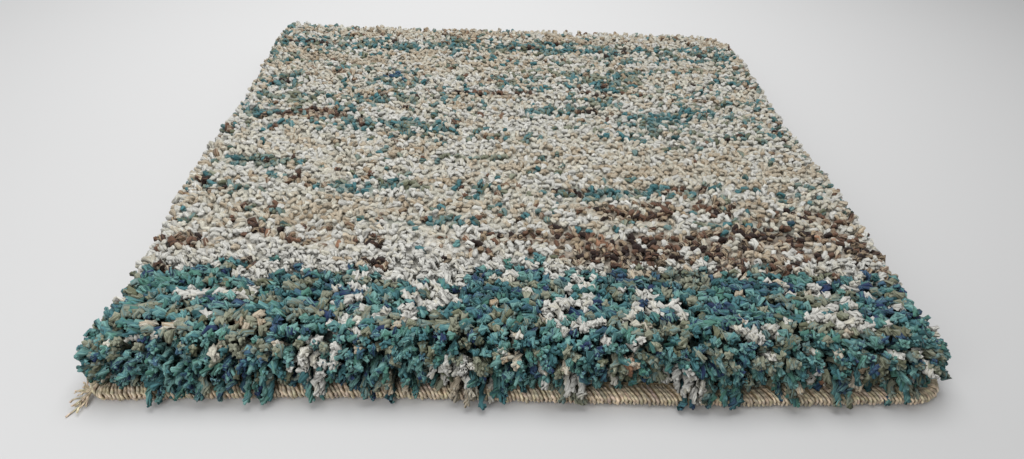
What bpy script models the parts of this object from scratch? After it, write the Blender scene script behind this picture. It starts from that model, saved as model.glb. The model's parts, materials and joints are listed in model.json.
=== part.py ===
"""A small shaggy rug: one woven cloth with a thick cut pile, and the overlocked yarn that binds its edge.

Metres, +Z up. The rug lies flat with its underside on z = 0, its front edge towards -Y and the
origin in the middle of the underside.
"""

import math
import random

import bmesh
import bpy
from mathutils import Vector, noise

# Driving dimensions
SIDE = 0.305  # over the binding, front to back and side to side
PILE_HEIGHT = 0.025  # from the floor to the tips of the pile
CLOTH = 0.0017  # thickness of the woven ground
YARN = 0.0011  # thickness of the layer of binding yarn
LAP = 0.0070  # how far the binding laps over the cloth
GAP = 0.0003  # between the cloth and the binding
CORNER_RADII = {(-1, -1): 0.010, (1, -1): 0.012, (1, 1): 0.026, (-1, 1): 0.012}  # by side in x, y
EDGE_WAVE = 0.0013  # how far the hand-cut edge wanders
EDGE_WAVE_LENGTH = 0.26  # of one wave along the front edge
EDGE_WAVE_SLANT = 1.7  # how much faster it wanders along the sides

# The pile
CELLS = 32  # cells of the upper surface, each way
TOP_SHARE = 0.945  # size of the upper surface against the plan
SHOULDER_DROP = 0.0013  # how far the upper surface's rim lies below its middle
SHOULDER_WIDTH = 0.020
LUMP_HEIGHT = 0.0028
LUMP_LENGTH = 0.017

# Where the binding shows past the pile: along the right half of the front edge
BARE_DEPTH = 0.0032
BARE_FROM_X = (0.005, 0.035)
BARE_BEFORE_Y = (-0.132, -0.144)

# Locks of yarn at the rim: which ring they grow from, how far out and how far down the tip
# lies from the wall, and how much the two vary from lock to lock.
LOCK_ROWS = (
    {"above": "belly", "columns": 0, "out": 0.0050, "down": 0.0054, "vary": 0.30},
    {"above": "cheek", "columns": 1, "out": 0.0044, "down": 0.0036, "vary": 0.45},
)
BARE_LOCK = {"out": 0.7, "down": 0.25}  # share of its reach that a lock keeps where the binding shows
LOCK_STEPS = ({"share": 0.55, "fall": 0.3, "taper": 0.82}, {"share": 0.45, "fall": 0.7, "taper": 0.70})
FULL_LOCK_EVERY = 8  # one lock in so many reaches all the way out, so that the four sides match
LOCK_SWAY = 0.0015  # sideways, at the tip

# The loose ends of the binding yarn, both at the front left corner: station along the
# binding that each leaves, then how far its tip lies from there
TAILS = (
    {"station": 0, "move": (-0.0015, -0.0058, -0.0010)},
    {"station": -1, "move": (-0.0048, 0.0006, 0.0004)},
)
TAIL_STEPS = ({"share": 0.55, "fall": 0.9, "taper": 0.95}, {"share": 0.45, "fall": 0.1, "taper": 0.8})
TAIL_ROOM = 0.010  # no lock hangs down this near the corner, over the loose ends

CLOTH_FOOT = YARN + GAP
CLOTH_TOP = CLOTH_FOOT + CLOTH
BINDING_TOP = CLOTH_TOP + GAP + YARN
BINDING_ROUND = 0.0013
CLOTH_EDGE = -(YARN + GAP)
NECK = -(LAP + 2 * GAP)
BINDING_STEP = 0.018  # between stations on the straight
CORNER_STEPS = 3  # stations in half a corner

# The edge in section, from the pile's shoulder down to the underside: how far outside the
# binding's outer edge each ring lies, its height, how uneven the pile makes it, and how much
# of the bare depth it is set back by where the binding shows.
EDGE_RINGS = (
    {"name": "shoulder", "out": -0.0038, "height": 0.0222, "uneven": 0.0009, "set_back": 0.4},
    {"name": "cheek", "out": -0.0010, "height": 0.0168, "uneven": 0.0009, "set_back": 0.6},
    {"name": "belly", "out": 0.0002, "height": 0.0105, "uneven": 0.0007, "set_back": 0.9},
    {"name": "pile_foot", "out": -0.0010, "height": BINDING_TOP + 1.5 * GAP, "uneven": 0, "set_back": 1},
    {"name": "neck_top", "out": NECK, "height": BINDING_TOP + GAP, "uneven": 0, "set_back": 0},
    {"name": "neck_foot", "out": NECK, "height": CLOTH_TOP, "uneven": 0, "set_back": 0},
    {"name": "cloth_edge_top", "out": CLOTH_EDGE, "height": CLOTH_TOP, "uneven": 0, "set_back": 0},
    {"name": "cloth_edge_foot", "out": CLOTH_EDGE, "height": CLOTH_FOOT, "uneven": 0, "set_back": 0},
    {"name": "step_top", "out": NECK, "height": CLOTH_FOOT, "uneven": 0, "set_back": 0},
    {"name": "underside", "out": NECK, "height": 0, "uneven": 0, "set_back": 0},
)

# The binding in section, as (out, height): a channel that holds the cloth's edge
BINDING_SECTION = (
    (-LAP, 0),
    (-BINDING_ROUND, 0),
    (0, BINDING_ROUND),
    (0, BINDING_TOP - BINDING_ROUND),
    (-BINDING_ROUND, BINDING_TOP),
    (-LAP, BINDING_TOP),
    (-LAP, BINDING_TOP - YARN),
    (-YARN, BINDING_TOP - YARN),
    (-YARN, YARN),
    (-LAP, YARN),
)


def clear_scene():
    for thing in list(bpy.data.objects):
        bpy.data.objects.remove(thing)


def material(name, colour, roughness):
    made = bpy.data.materials.new(name)
    made.use_nodes = True
    shader = made.node_tree.nodes["Principled BSDF"]
    shader.inputs["Base Color"].default_value = (*colour, 1)
    shader.inputs["Roughness"].default_value = roughness
    shader.inputs["Metallic"].default_value = 0
    return made


def on_plan(u, v):
    """The rug's plan for a point of the square from -1 to 1: the place, and the way out from it.

    In each corner the square's rings become quarter circles round the centre of the corner's arc.
    """
    half = SIDE / 2
    side = Vector((math.copysign(1, u), math.copysign(1, v)))
    radius = CORNER_RADII[side.x, side.y]
    past = Vector((abs(u), abs(v))) * half - Vector((half - radius, half - radius))
    if min(past) > 0:
        way = past.normalized()
        place = Vector((half - radius, half - radius)) + way * max(past)
    else:
        way = Vector((1, 0)) if abs(u) > abs(v) else Vector((0, 1))
        place = Vector((abs(u), abs(v))) * half
    return place * side, way * side


def edge_point(u, v, out, height):
    """A point that lies so far outside the rug's wandering outline, at a height."""
    place, way = on_plan(u, v)
    wander = EDGE_WAVE * math.sin(math.tau * (place.x + EDGE_WAVE_SLANT * place.y) / EDGE_WAVE_LENGTH)
    return (place + way * (out + wander)).to_3d() + Vector((0, 0, height))


def eased(limits, value):
    """0 at the first limit and 1 at the second, in a smooth step between."""
    share = min(1, max(0, (value - limits[0]) / (limits[1] - limits[0])))
    return share * share * (3 - 2 * share)


def bare(place):
    """From 0 to 1, how fully the binding shows past the pile's foot at a place."""
    return eased(BARE_FROM_X, place.x) * eased(BARE_BEFORE_Y, place.y)


def way_round(u, v):
    """How far round the square a point of its edge lies, from 0 at the front left corner to 4."""
    if v <= -1:
        return (u + 1) / 2
    if u >= 1:
        return 1 + (v + 1) / 2
    if v >= 1:
        return 2 + (1 - u) / 2
    return 3 + (1 - v) / 2


def lumps(x, y):
    """The unevenness of the pile at a place, from about -1 to 1."""
    return noise.noise(Vector((x, y, 0)) / LUMP_LENGTH) + 0.6 * noise.noise(Vector((y, x, LUMP_LENGTH)) / LUMP_LENGTH)


def pile_top(u, v):
    """A point of the pile's upper surface, which is lumpy and falls a little towards its rim."""
    place, _ = on_plan(u, v)
    inward = (1 - max(abs(u), abs(v))) * SIDE / 2
    fall = SHOULDER_DROP * max(0, 1 - inward / SHOULDER_WIDTH) ** 2
    height = PILE_HEIGHT - LUMP_HEIGHT * (1 - lumps(place.x, place.y)) / 2 - fall
    return (place * TOP_SHARE).to_3d() + Vector((0, 0, height))


def join_rings(mesh, upper, lower):
    """The wall between two rings, as one four-sided face for each column."""
    count = len(upper)
    return [
        mesh.faces.new((upper[i], lower[i], lower[(i + 1) % count], upper[(i + 1) % count])) for i in range(count)
    ]


def grow(mesh, face, move, steps):
    """Grows a tapering lock out of a face, in steps; the move is its tip's distance from the face."""
    for step in steps:
        (face,) = bmesh.ops.extrude_discrete_faces(mesh, faces=[face])["faces"]
        centre = face.calc_center_median()
        on = Vector((move.x * step["share"], move.y * step["share"], move.z * step["fall"]))
        for vertex in face.verts:
            vertex.co = centre + (vertex.co - centre) * step["taper"] + on


def lock_moves(faces, row, chance):
    """How far each lock of a row reaches from its root."""
    moves = []
    for number, face in enumerate(faces):
        way = face.normal.xy.normalized().to_3d()
        shorter = 0 if number % FULL_LOCK_EVERY == 0 else chance.uniform(0, row["vary"])
        aside = Vector((-way.y, way.x, 0)) * chance.uniform(-LOCK_SWAY, LOCK_SWAY)
        showing = bare(face.calc_center_median())
        kept = {key: 1 - showing * (1 - share) for key, share in BARE_LOCK.items()}
        move = way * row["out"] * (1 - shorter) * kept["out"] + aside
        move.z = -row["down"] * (1 - chance.uniform(0, row["vary"])) * kept["down"]
        moves.append(move)
    return moves


def over_tails(face):
    """Whether a lock that grows from this face would come down on the binding's loose ends."""
    root = face.calc_center_median()
    corner = Vector((-SIDE / 2, -SIDE / 2))
    return root.z < 2 * BINDING_TOP and (root.xy - corner).length < TAIL_ROOM


def pile_cloth():
    """The cloth: a lumpy slab of pile on its woven ground, with locks of yarn at its rim."""
    mesh = bmesh.new()
    chance = random.Random(7)
    bmesh.ops.create_grid(mesh, x_segments=CELLS, y_segments=CELLS, size=1)
    rim_edges = [edge for edge in mesh.edges if edge.is_boundary]
    bmesh.ops.subdivide_edges(mesh, edges=rim_edges, cuts=1)
    square = {vertex: vertex.co.xy for vertex in mesh.verts}
    rim = sorted((v for v in mesh.verts if v.is_boundary), key=lambda v: way_round(*square[v]))
    for vertex, spot in square.items():
        vertex.co = pile_top(*spot)

    rings, walls = [rim], {}
    for ring in EDGE_RINGS:
        lower = []
        for vertex in rim:
            bump, drop = (ring["uneven"] * chance.uniform(-1, 1) for _ in range(2))
            out = ring["out"] + bump - ring["set_back"] * BARE_DEPTH * bare(on_plan(*square[vertex])[0])
            lower.append(mesh.verts.new(edge_point(*square[vertex], out, ring["height"] + drop)))
        walls[ring["name"]] = join_rings(mesh, rings[-1], lower)
        rings.append(lower)
    mesh.faces.new(rings[-1])
    bmesh.ops.recalc_face_normals(mesh, faces=mesh.faces)

    names = [ring["name"] for ring in EDGE_RINGS]
    for row in LOCK_ROWS:
        below = names[names.index(row["above"]) + 1]
        faces = [face for face in walls[below][row["columns"] :: 2] if not over_tails(face)]
        for face, move in zip(faces, lock_moves(faces, row, chance)):
            grow(mesh, face, move, LOCK_STEPS)
    return mesh


def binding_stations():
    """The binding's stations as points of the square's edge, from the front left corner right round to it."""
    half = SIDE / 2
    corners = ((-1, -1), (1, -1), (1, 1), (-1, 1))
    stations = []
    for number, start in enumerate(corners):
        end = corners[(number + 1) % len(corners)]
        first, last = (CORNER_RADII[corner] / half for corner in (start, end))
        straight = 2 - first - last
        steps = round(straight * half / BINDING_STEP)
        along = [first * i / CORNER_STEPS for i in range(CORNER_STEPS)]
        along += [first + straight * i / steps for i in range(steps)]
        along += [2 - last * (1 - i / CORNER_STEPS) for i in range(CORNER_STEPS)]
        way = (Vector(end) - Vector(start)) / 2
        stations += [Vector(start) + way * distance for distance in along]
    short_of_start = Vector((-1, -1 + 2 * GAP / half))
    return [*stations, short_of_start]


def edge_binding():
    """The overlocked yarn as one channel that runs right round the cloth, with its two loose ends."""
    mesh = bmesh.new()
    sections = []
    for u, v in binding_stations():
        sections.append([mesh.verts.new(edge_point(u, v, out, height)) for out, height in BINDING_SECTION])
    spans = [join_rings(mesh, before, after) for before, after in zip(sections, sections[1:])]
    mesh.faces.new(sections[0])
    mesh.faces.new(reversed(sections[-1]))
    bmesh.ops.recalc_face_normals(mesh, faces=mesh.faces)

    outer_face = BINDING_SECTION.index((0, BINDING_ROUND))
    for tail in TAILS:
        grow(mesh, spans[tail["station"]][outer_face], Vector(tail["move"]), TAIL_STEPS)
    return mesh


def add_object(name, mesh, finish):
    bmesh.ops.recalc_face_normals(mesh, faces=mesh.faces)
    data = bpy.data.meshes.new(name)
    mesh.to_mesh(data)
    mesh.free()
    data.materials.append(finish)
    made = bpy.data.objects.new(name, data)
    bpy.context.scene.collection.objects.link(made)
    return made


def main():
    clear_scene()
    add_object("pile_cloth", pile_cloth(), material("pile_yarn", (0.42, 0.48, 0.46), 0.9))
    add_object("edge_binding", edge_binding(), material("binding_yarn", (0.47, 0.38, 0.27), 0.85))


main()
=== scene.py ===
"""Dresses the small shag rug: its twisted tufts, its ground, its overlocked edge and a pale studio.

Metres, +Z up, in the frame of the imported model: the underside lies on z = 0, the front edge is
towards -Y, and the origin is in the middle of the underside.
"""

import json
import math

import bpy
import numpy as np
from bpy.props import FloatProperty, FloatVectorProperty, PointerProperty
from bpy.types import Operator, Panel, PropertyGroup
from mathutils import Matrix, Vector

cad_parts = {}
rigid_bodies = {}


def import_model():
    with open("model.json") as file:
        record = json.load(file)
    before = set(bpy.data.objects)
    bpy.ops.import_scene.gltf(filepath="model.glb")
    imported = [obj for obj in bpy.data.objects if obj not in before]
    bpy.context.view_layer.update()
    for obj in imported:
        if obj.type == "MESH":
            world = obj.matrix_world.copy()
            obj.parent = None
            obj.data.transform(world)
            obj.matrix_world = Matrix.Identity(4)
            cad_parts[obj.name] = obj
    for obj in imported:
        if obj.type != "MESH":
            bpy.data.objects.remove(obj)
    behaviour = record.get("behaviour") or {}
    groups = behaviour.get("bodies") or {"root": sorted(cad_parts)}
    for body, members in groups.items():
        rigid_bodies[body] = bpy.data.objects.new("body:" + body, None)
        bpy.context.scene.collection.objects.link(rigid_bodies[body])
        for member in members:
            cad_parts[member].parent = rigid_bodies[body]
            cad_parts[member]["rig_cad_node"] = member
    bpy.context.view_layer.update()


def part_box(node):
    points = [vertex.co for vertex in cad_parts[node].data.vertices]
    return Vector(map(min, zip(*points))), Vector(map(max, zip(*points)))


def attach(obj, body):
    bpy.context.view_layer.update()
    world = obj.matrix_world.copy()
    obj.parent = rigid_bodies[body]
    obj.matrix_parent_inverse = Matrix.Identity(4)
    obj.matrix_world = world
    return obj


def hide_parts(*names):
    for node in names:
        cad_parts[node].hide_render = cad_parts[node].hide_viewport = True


bl_info = {
    "name": "Small shag rug",
    "version": (1, 0, 0),
    "blender": (4, 5, 0),
    "location": "View3D > Sidebar > Rug",
    "description": "Grows the pile, the ground and the bound edge of a small shag rug",
    "category": "Object",
}

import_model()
BINDING_HIGH = Vector(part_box("edge_binding")[1])
PILE_HIGH = Vector(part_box("pile_cloth")[1])

MM = 0.001
EDGE_WAVE = 1.3 * MM  # how far the hand-cut edge wanders from the plan
EDGE_WAVE_LENGTH = 260 * MM
EDGE_WAVE_SLANT = 1.7  # how much faster it wanders along the sides
HALF_SIDE = BINDING_HIGH.x - EDGE_WAVE
CORNER_RADII = {(-1, -1): 10 * MM, (1, -1): 12 * MM, (1, 1): 26 * MM, (-1, 1): 12 * MM}  # by side in x, y
SEED = 11

# Colours that a strand of yarn is dyed in, as shown on a screen
DYES = {
    "white": (0.755, 0.75, 0.725),
    "cream": (0.735, 0.72, 0.665),
    "beige": (0.69, 0.645, 0.57),
    "taupe": (0.60, 0.535, 0.445),
    "aqua": (0.43, 0.59, 0.57),
    "teal": (0.28, 0.45, 0.47),
    "sea": (0.30, 0.47, 0.42),
    "haze": (0.42, 0.51, 0.50),
    "deep_teal": (0.17, 0.31, 0.32),
    "navy": (0.15, 0.21, 0.34),
    "blue": (0.25, 0.36, 0.45),
    "sage": (0.53, 0.54, 0.47),
    "olive": (0.39, 0.40, 0.32),
    "rust": (0.56, 0.42, 0.33),
    "brown": (0.40, 0.30, 0.24),
    "umber": (0.17, 0.125, 0.11),
    "tan": (0.80, 0.74, 0.64),
}

# The yarns: the dyes that their strands are drawn from
YARNS = {
    "white": ("white", "white", "white", "white", "cream"),
    "cream": ("cream", "cream", "cream", "white", "beige"),
    "beige": ("beige", "beige", "beige", "cream", "taupe"),
    "taupe": ("taupe", "taupe", "beige", "brown", "cream"),
    "dusk": ("deep_teal", "teal", "teal", "olive", "haze"),
    "haze": ("haze", "haze", "teal", "sage", "olive"),
    "teal": ("teal", "teal", "aqua", "deep_teal", "sea"),
    "ocean": ("navy", "blue", "teal", "deep_teal", "aqua"),
    "lagoon": ("aqua", "aqua", "teal", "sea", "navy"),
    "sage": ("sage", "sage", "sage", "olive", "haze"),
    "moss": ("olive", "olive", "sage", "haze", "deep_teal"),
    "rust": ("rust", "rust", "beige", "brown", "cream"),
    "brown": ("brown", "brown", "taupe", "umber", "beige"),
    "umber": ("umber", "umber", "umber", "brown", "taupe"),
}
YARN_NAMES = list(YARNS)

# A streak of dark yarn is a mixture too, tuft by tuft
DUSK = {"dusk": 1.0, "haze": 0.2, "moss": 0.2, "umber": 0.16, "cream": 0.1}

# How common each yarn is from the front edge to the back: "until" is where the band ends, in mm
BANDS = (
    dict(until=-107, white=5, cream=2, beige=2, teal=24, ocean=16, lagoon=24, sage=17, moss=10),
    dict(until=-80, white=46, cream=24, beige=8, taupe=4, dusk=4, brown=9, rust=4, umber=6),
    dict(until=-57, white=28, cream=30, beige=18, taupe=4, dusk=5, haze=4, brown=5, moss=2),
    dict(until=-40, white=32, cream=28, beige=10, taupe=3, dusk=8, haze=8, brown=4, sage=4),
    dict(until=-4, white=26, cream=36, beige=20, taupe=4, dusk=3, haze=3, brown=1, moss=2),
    dict(until=34, white=32, cream=28, beige=8, taupe=3, dusk=9, haze=12, brown=4, sage=6),
    dict(until=64, white=28, cream=30, beige=10, taupe=4, dusk=8, haze=12, brown=4, sage=6),
    dict(until=104, white=20, cream=32, beige=16, taupe=8, dusk=7, haze=10, brown=3, sage=7),
    dict(until=124, white=14, cream=24, beige=14, taupe=8, dusk=14, haze=16, brown=2, sage=7),
    dict(until=160, white=10, cream=30, beige=28, taupe=18, dusk=4, haze=5, brown=3, sage=3),
)
BAND_BLUR = 3.5  # over how many mm one band gives way to the next

# Streaks that stand out: the yarn, its middle, its half length and half depth in mm, and how
# strongly it takes the place of the band's own yarns. In front of the edge, y goes on down the
# face of the pile.
STREAKS = (
    ("lagoon", -88, -162, 54, 10, 60),
    ("white", -73, -159, 6, 8, 400),
    ("white", -30, -161, 6, 6, 400),
    ("beige", -48, -167, 5, 4, 200),
    ("beige", -22, -169, 5, 4, 200),
    ("white", 15, -168, 4, 4, 200),
    ("white", 53, -165, 6, 6, 400),
    ("rust", 40, -152, 3, 3, 200),
    ("rust", 33, -160, 3, 3, 200),
    ("beige", 115, -164, 4, 4, 200),
    ("white", 137, -164, 5, 5, 120),
    ("white", -66, -124, 7, 18, 130),
    ("white", -37, -116, 11, 13, 110),
    ("sage", -50, -112, 10, 5, 60),
    ("sage", -108, -138, 16, 12, 60),
    ("white", 15, -128, 10, 10, 120),
    ("white", 46, -129, 13, 4, 90),
    ("white", 81, -138, 9, 4, 90),
    ("white", 118, -124, 13, 13, 70),
    ("ocean", 70, -116, 60, 8, 20),
    ("white", -104, -122, 7, 4, 120),
    ("beige", -96, -134, 6, 4, 90),
    ("teal", -2, -102, 9, 4, 80),
    ("teal", 66, -101, 12, 3, 80),
    ("teal", -112, -103, 16, 3, 60),
    ("white", -128, -110, 6, 4, 60),
    ("white", 20, -110, 9, 6, 120),
    ("white", -42, -106, 12, 5, 120),
    ("sage", 50, -110, 22, 5, 60),
    ("white", -62, -101, 74, 10, 220),
    ("umber", 52, -91, 40, 8, 190),
    ("umber", 112, -84, 30, 6, 190),
    ("umber", 66, -92, 80, 11, 50),
    ("rust", 30, -92, 44, 9, 40),
    ("brown", 66, -92, 80, 12, 90),
    ("brown", -138, -96, 12, 13, 160),
    ("umber", -140, -92, 11, 11, 90),
    ("brown", -90, -84, 30, 8, 30),
    ("umber", 0, -86, 34, 4, 40),
    ("dusk", -42, -76, 28, 3, 90),
    ("dusk", -140, -74, 7, 5, 60),
    ("beige", -70, -66, 60, 6, 70),
    ("brown", 80, -67, 70, 7, 80),
    ("umber", 90, -66, 60, 5, 30),
    ("dusk", 96, -76, 30, 5, 50),
    ("dusk", -68, -50, 24, 5, 160),
    ("dusk", -137, -50, 10, 4, 70),
    ("umber", -112, -50, 10, 3, 20),
    ("dusk", -20, -50, 12, 5, 80),
    ("dusk", 35, -52, 22, 4, 80),
    ("brown", 90, -52, 46, 5, 20),
    ("beige", 10, -44, 60, 4, 30),
    ("dusk", -123, -31, 19, 4, 120),
    ("sage", -22, -23, 18, 2, 120),
    ("dusk", -50, 4, 19, 8, 90),
    ("dusk", -86, 6, 16, 7, 60),
    ("dusk", 113, 4, 7, 5, 90),
    ("dusk", 60, 0, 30, 5, 26),
    ("brown", -104, 17, 20, 7, 120),
    ("dusk", -134, 20, 8, 6, 90),
    ("brown", -150, 2, 6, 8, 120),
    ("dusk", 24, 26, 18, 6, 120),
    ("dusk", 78, 25, 36, 6, 60),
    ("sage", -88, 37, 56, 5, 70),
    ("dusk", -90, 37, 52, 5, 50),
    ("brown", -12, 47, 24, 3, 80),
    ("umber", 0, 47, 16, 3, 60),
    ("umber", 50, 48, 5, 3, 90),
    ("dusk", -127, 57, 16, 7, 120),
    ("ocean", -68, 66, 7, 4, 90),
    ("dusk", 65, 57, 9, 5, 70),
    ("dusk", 30, 66, 40, 12, 22),
    ("sage", 45, 74, 40, 12, 40),
    ("white", 10, 12, 48, 9, 50),
    ("beige", 92, -28, 56, 14, 70),
    ("beige", -66, 92, 80, 12, 60),
    ("white", -4, 58, 56, 8, 30),
    ("dusk", 12, 112, 126, 4, 50),
    ("dusk", -76, 113, 16, 9, 160),
    ("dusk", -36, 116, 10, 9, 130),
    ("dusk", 14, 115, 28, 9, 110),
    ("dusk", 96, 110, 50, 7, 120),
    ("dusk", -128, 112, 18, 8, 50),
    ("dusk", -134, 144, 12, 6, 50),
)
RUN = 13.0  # mm of a row over which the yarn stays the same, on average
STRAY_SHARE = 0.2  # tufts that don't follow their row

# The outer rows of the rim's pile, from the binding up. For each: how far outside the edge its
# tips lie, their height, how steeply they point (0 level, 90 up) and how far inside the edge
# they are rooted; then how much further out and down they reach where they hang, and the share
# of the bare depth that they are set back by where the binding shows. In mm and degrees.
HANGING_ROWS = (
    {"out": -2.4, "height": 6.0, "steep": -40, "inset": 9.0, "hang": 4.6, "sink": 3.4, "set_back": 0.9},
    {"out": -1.8, "height": 8.4, "steep": -36, "inset": 9.6, "hang": 3.0, "sink": 2.6, "set_back": 0.8},
)
UPRIGHT_ROWS = (
    {"out": -0.9, "height": 11.4, "steep": -24, "inset": 10.2, "hang": 1.6, "sink": 1.0, "set_back": 0.7},
    {"out": -0.9, "height": 14.1, "steep": -4, "inset": 10.7, "hang": 0.8, "sink": 0.0, "set_back": 0.6},
    {"out": -1.7, "height": 16.6, "steep": 14, "inset": 11.3, "hang": 0.0, "sink": 0.0, "set_back": 0.5},
    {"out": -3.1, "height": 18.9, "steep": 28, "inset": 12.0, "hang": 0.0, "sink": 0.0, "set_back": 0.4},
    {"out": -5.0, "height": 20.9, "steep": 44, "inset": 12.9, "hang": 0.0, "sink": 0.0, "set_back": 0.4},
    {"out": -7.8, "height": 22.4, "steep": 60, "inset": 14.2, "hang": 0.0, "sink": 0.0, "set_back": 0.3},
)
BARE_DEPTH = 3.2  # mm, as in the solid
SIDES_BACK = 0.8  # mm by which the tips stay further in at the sides and behind
FRONT_RIM = 24 * MM  # how far from the front edge the tufts of the front rim are rooted, at most

# Where the longer and looser pile of the front band begins, and where it is fully so
FRONT = (-98 * MM, -130 * MM)

# Where the tufts hang down over the binding of the front edge: the middle and half width, in mm
HANGING = (
    (-117, 11), (-94, 7), (-75, 3), (-52, 7), (-17, 9), (15, 4),
    (58, 5), (70, 3), (92, 2), (109, 3), (133, 3),
)


class RugSizes(PropertyGroup):
    """Sizes of the rug's own yarn and stitches."""

    tuft_pitch: FloatProperty(
        name="Tuft pitch", description="From tuft to tuft in the field", default=3.4 * MM, unit="LENGTH"
    )
    rim_pitch: FloatProperty(
        name="Rim pitch", description="From tuft to tuft in a row at the rim", default=3.8 * MM, unit="LENGTH"
    )
    strand_radius: FloatProperty(
        name="Strand radius", description="Radius of each of a tuft's strands", default=1.0 * MM, unit="LENGTH"
    )
    hanging_radius: FloatProperty(
        name="Hanging radius", description="Radius of strands that hang", default=1.05 * MM, unit="LENGTH"
    )
    bed_height: FloatProperty(
        name="Bed height", description="How high the pile is one dense mass", default=21.7 * MM, unit="LENGTH"
    )
    stitch_pitch: FloatProperty(
        name="Stitch pitch", description="From stitch to stitch of the edge", default=1.4 * MM, unit="LENGTH"
    )
    stitch_radius: FloatProperty(
        name="Stitch radius", description="Radius of the edge's yarn", default=0.62 * MM, unit="LENGTH"
    )


class StudioSettings(PropertyGroup):
    """Where the camera stands, and how bright the lights are."""

    lens: FloatProperty(name="Lens", description="Focal length on a 36 mm sensor, in mm", default=24.23)
    camera_place: FloatVectorProperty(
        name="Camera", description="Where it stands", default=(-0.019, -0.3091, 0.1927), subtype="TRANSLATION"
    )
    pitch: FloatProperty(
        name="Pitch", description="How far it looks down", default=math.radians(36.58), unit="ROTATION"
    )
    yaw: FloatProperty(
        name="Yaw", description="How far it turns left", default=math.radians(-3.46), unit="ROTATION"
    )
    roll: FloatProperty(
        name="Roll", description="How far it tips", default=math.radians(3.11), unit="ROTATION"
    )
    sky: FloatProperty(name="Sky", description="Strength of the even light from all round", default=0.40)
    softbox: FloatProperty(name="Softbox", description="Power of the top lamp", default=5.3, unit="POWER")
    fill: FloatProperty(name="Fill", description="Power of the front lamp", default=0.80, unit="POWER")


def sizes():
    return bpy.context.scene.rug_sizes


def column(table, key):
    """One column of a table, as an array."""
    return np.array([row[key] for row in table])


def linear(shown):
    """Light of a colour shown on a screen: ((c + 0.055) / 1.055) ** 2.4, or c / 12.92 where dark."""
    shown = np.asarray(shown, float)
    return np.where(shown > 0.04045, ((shown + 0.055) / 1.055) ** 2.4, shown / 12.92)


def unit(vectors):
    """Each vector over its length."""
    return vectors / np.maximum(np.linalg.norm(vectors, axis=-1, keepdims=True), 1e-12)


def smooth(low, high, value):
    """0 at low, 1 at high, and t * t * (3 - 2 t) between, where t runs from 0 to 1."""
    t = np.clip((value - low) / (high - low), 0, 1)
    return t * t * (3 - 2 * t)


def wander(place):
    """How far the edge strays outwards: a sine of x + slant * y."""
    along = place[..., 0] + EDGE_WAVE_SLANT * place[..., 1]
    return EDGE_WAVE * np.sin(math.tau * along / EDGE_WAVE_LENGTH)


def rim_table():
    """The outline as knots along its length: the middle of the arc, its radius and its heading.

    Between two arcs the middle slides in a line and the radius with it, so the side comes out
    straight. On an arc only the heading turns.
    """
    order = ((-1, -1), (1, -1), (1, 1), (-1, 1))
    distance, knots = 0.0, []
    for number, corner in enumerate(order):
        radius, following = CORNER_RADII[corner], CORNER_RADII[order[(number + 1) % 4]]
        middle = [side * (HALF_SIDE - radius) for side in corner]
        heading = math.pi + number * math.pi / 2
        knots.append((distance, *middle, radius, heading))
        distance += radius * math.pi / 2
        knots.append((distance, *middle, radius, heading + math.pi / 2))
        distance += 2 * HALF_SIDE - radius - following
    first = knots[0]
    knots.append((distance, *first[1:4], first[4] + math.tau))
    return np.array(knots).T


RIM = rim_table()
RIM_LENGTH = RIM[0, -1]


def rim(distance, out=0.0):
    """Places and ways out on the outline, so far along it: middle + radius * (cos, sin) of the heading."""
    x, y, radius, heading = (np.interp(distance % RIM_LENGTH, RIM[0], row) for row in RIM[1:])
    way = np.stack([np.cos(heading), np.sin(heading)], -1)
    place = np.stack([x, y], -1) + way * radius[..., None]
    return place + way * np.asarray(out + wander(place))[..., None], way


def inside(place):
    """How far inside the outline a place lies: the corner's radius less how far its arc's middle is."""
    side = np.where(place < 0, -1, 1)
    radius = sum(size * (side[..., 0] == x) * (side[..., 1] == y) for (x, y), size in CORNER_RADII.items())
    past = np.abs(place) - (HALF_SIDE - radius[..., None])
    return radius - np.linalg.norm(np.maximum(past, 0), axis=-1) - np.minimum(past.max(-1), 0)


def bare(place):
    """From 0 to 1, how fully the binding shows past the pile: along the right half of the front edge."""
    return smooth(5 * MM, 35 * MM, place[..., 0]) * smooth(-132 * MM, -144 * MM, place[..., 1])


def hanging(place):
    """From 0 to 1, how far the outermost tufts hang: in the named clumps in front, by chance elsewhere."""
    x = place[..., 0] / MM
    named = np.max([smooth(half + 2.5, half - 1.0, np.abs(x - middle)) for middle, half in HANGING], axis=0)
    by_chance = np.clip(0.45 + 0.55 * hills(place, 24 * MM, np.random.default_rng(SEED + 7)), 0, 1)
    front = smooth(-140 * MM, -146 * MM, place[..., 1])
    return front * named + (1 - front) * by_chance


def hills(place, length, chance):
    """Soft random hills, about -1 to 1: the mean of a few crossed sines of about this length."""
    total = 0
    for _ in range(5):
        turn = chance.uniform(0, math.tau)
        wave = length * chance.uniform(0.7, 1.5)
        along = place[..., 0] * math.cos(turn) + place[..., 1] * math.sin(turn)
        total = total + np.sin(math.tau * along / wave + chance.uniform(0, math.tau))
    return total / 2.6


def pile_height(place):
    """The height of the pile's upper surface: level, with low hills, and falling towards the rim."""
    lumps = hills(place, 28 * MM, np.random.default_rng(SEED))
    drop = 2.6 * MM * np.clip(1 - inside(place) / (17 * MM), 0, 1) ** 2
    return PILE_HIGH.z - 1.1 * MM + 0.7 * MM * lumps - drop


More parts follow.
